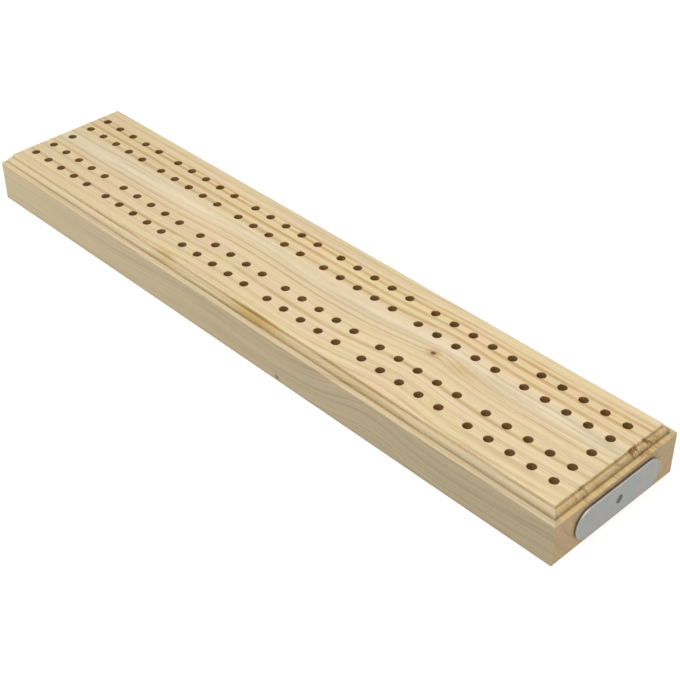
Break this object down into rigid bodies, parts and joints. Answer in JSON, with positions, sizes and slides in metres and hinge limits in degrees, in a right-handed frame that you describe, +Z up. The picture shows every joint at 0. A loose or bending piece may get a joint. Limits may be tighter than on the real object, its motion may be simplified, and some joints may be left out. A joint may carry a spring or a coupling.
{
  "type": "cribbage board",
  "caption": "Long pine scoring board with a routed edge, grouped rows of peg holes, a centre hole at each end, and a swivelling steel plate over the peg stores in its end.",
  "frame": {"origin": "centre of the board's underside", "axes": "+X along the tracks towards the end with the cover plate, +Y across the tracks, +Z up out of the playing face"},
  "size_m": [0.3061, 0.0636, 0.0215],
  "materials": {
    "pine": "smooth sanded pine, clear satin finish",
    "zinc_plated_steel": "dull zinc plate",
    "screw_steel": "dull zinc plate, dark in the slot",
    "washer_steel": "plain steel",
    "red_plastic": "moulded plastic",
    "blue_plastic": "moulded plastic"
  },
  "bodies": {
    "board": {"board": "pine", "pivot_screw": "screw_steel", "pivot_washer": "washer_steel"},
    "cover": {"cover_plate": "zinc_plated_steel"},
    "red_peg_1": {"red_peg_1": "red_plastic"},
    "red_peg_2": {"red_peg_2": "red_plastic"},
    "red_peg_3": {"red_peg_3": "red_plastic"},
    "blue_peg_1": {"blue_peg_1": "blue_plastic"},
    "blue_peg_2": {"blue_peg_2": "blue_plastic"},
    "blue_peg_3": {"blue_peg_3": "blue_plastic"}
  },
  "joints": [
    {"name": "cover_swivel", "type": "hinge", "parent": "board", "child": "cover", "pos_m": [0.1524, 0, 0.0093], "axis": [1, 0, 0], "continuous": true},
    {"name": "red_peg_1_slide", "type": "slide", "parent": "board", "child": "red_peg_1", "axis": [1, 0, 0], "range_m": [0, 0.011]},
    {"name": "red_peg_2_slide", "type": "slide", "parent": "board", "child": "red_peg_2", "axis": [1, 0, 0], "range_m": [0, 0.011]},
    {"name": "red_peg_3_slide", "type": "slide", "parent": "board", "child": "red_peg_3", "axis": [1, 0, 0], "range_m": [0, 0.011]},
    {"name": "blue_peg_1_slide", "type": "slide", "parent": "board", "child": "blue_peg_1", "axis": [1, 0, 0], "range_m": [0, 0.011]},
    {"name": "blue_peg_2_slide", "type": "slide", "parent": "board", "child": "blue_peg_2", "axis": [1, 0, 0], "range_m": [0, 0.011]},
    {"name": "blue_peg_3_slide", "type": "slide", "parent": "board", "child": "blue_peg_3", "axis": [1, 0, 0], "range_m": [0, 0.011]}
  ]
}
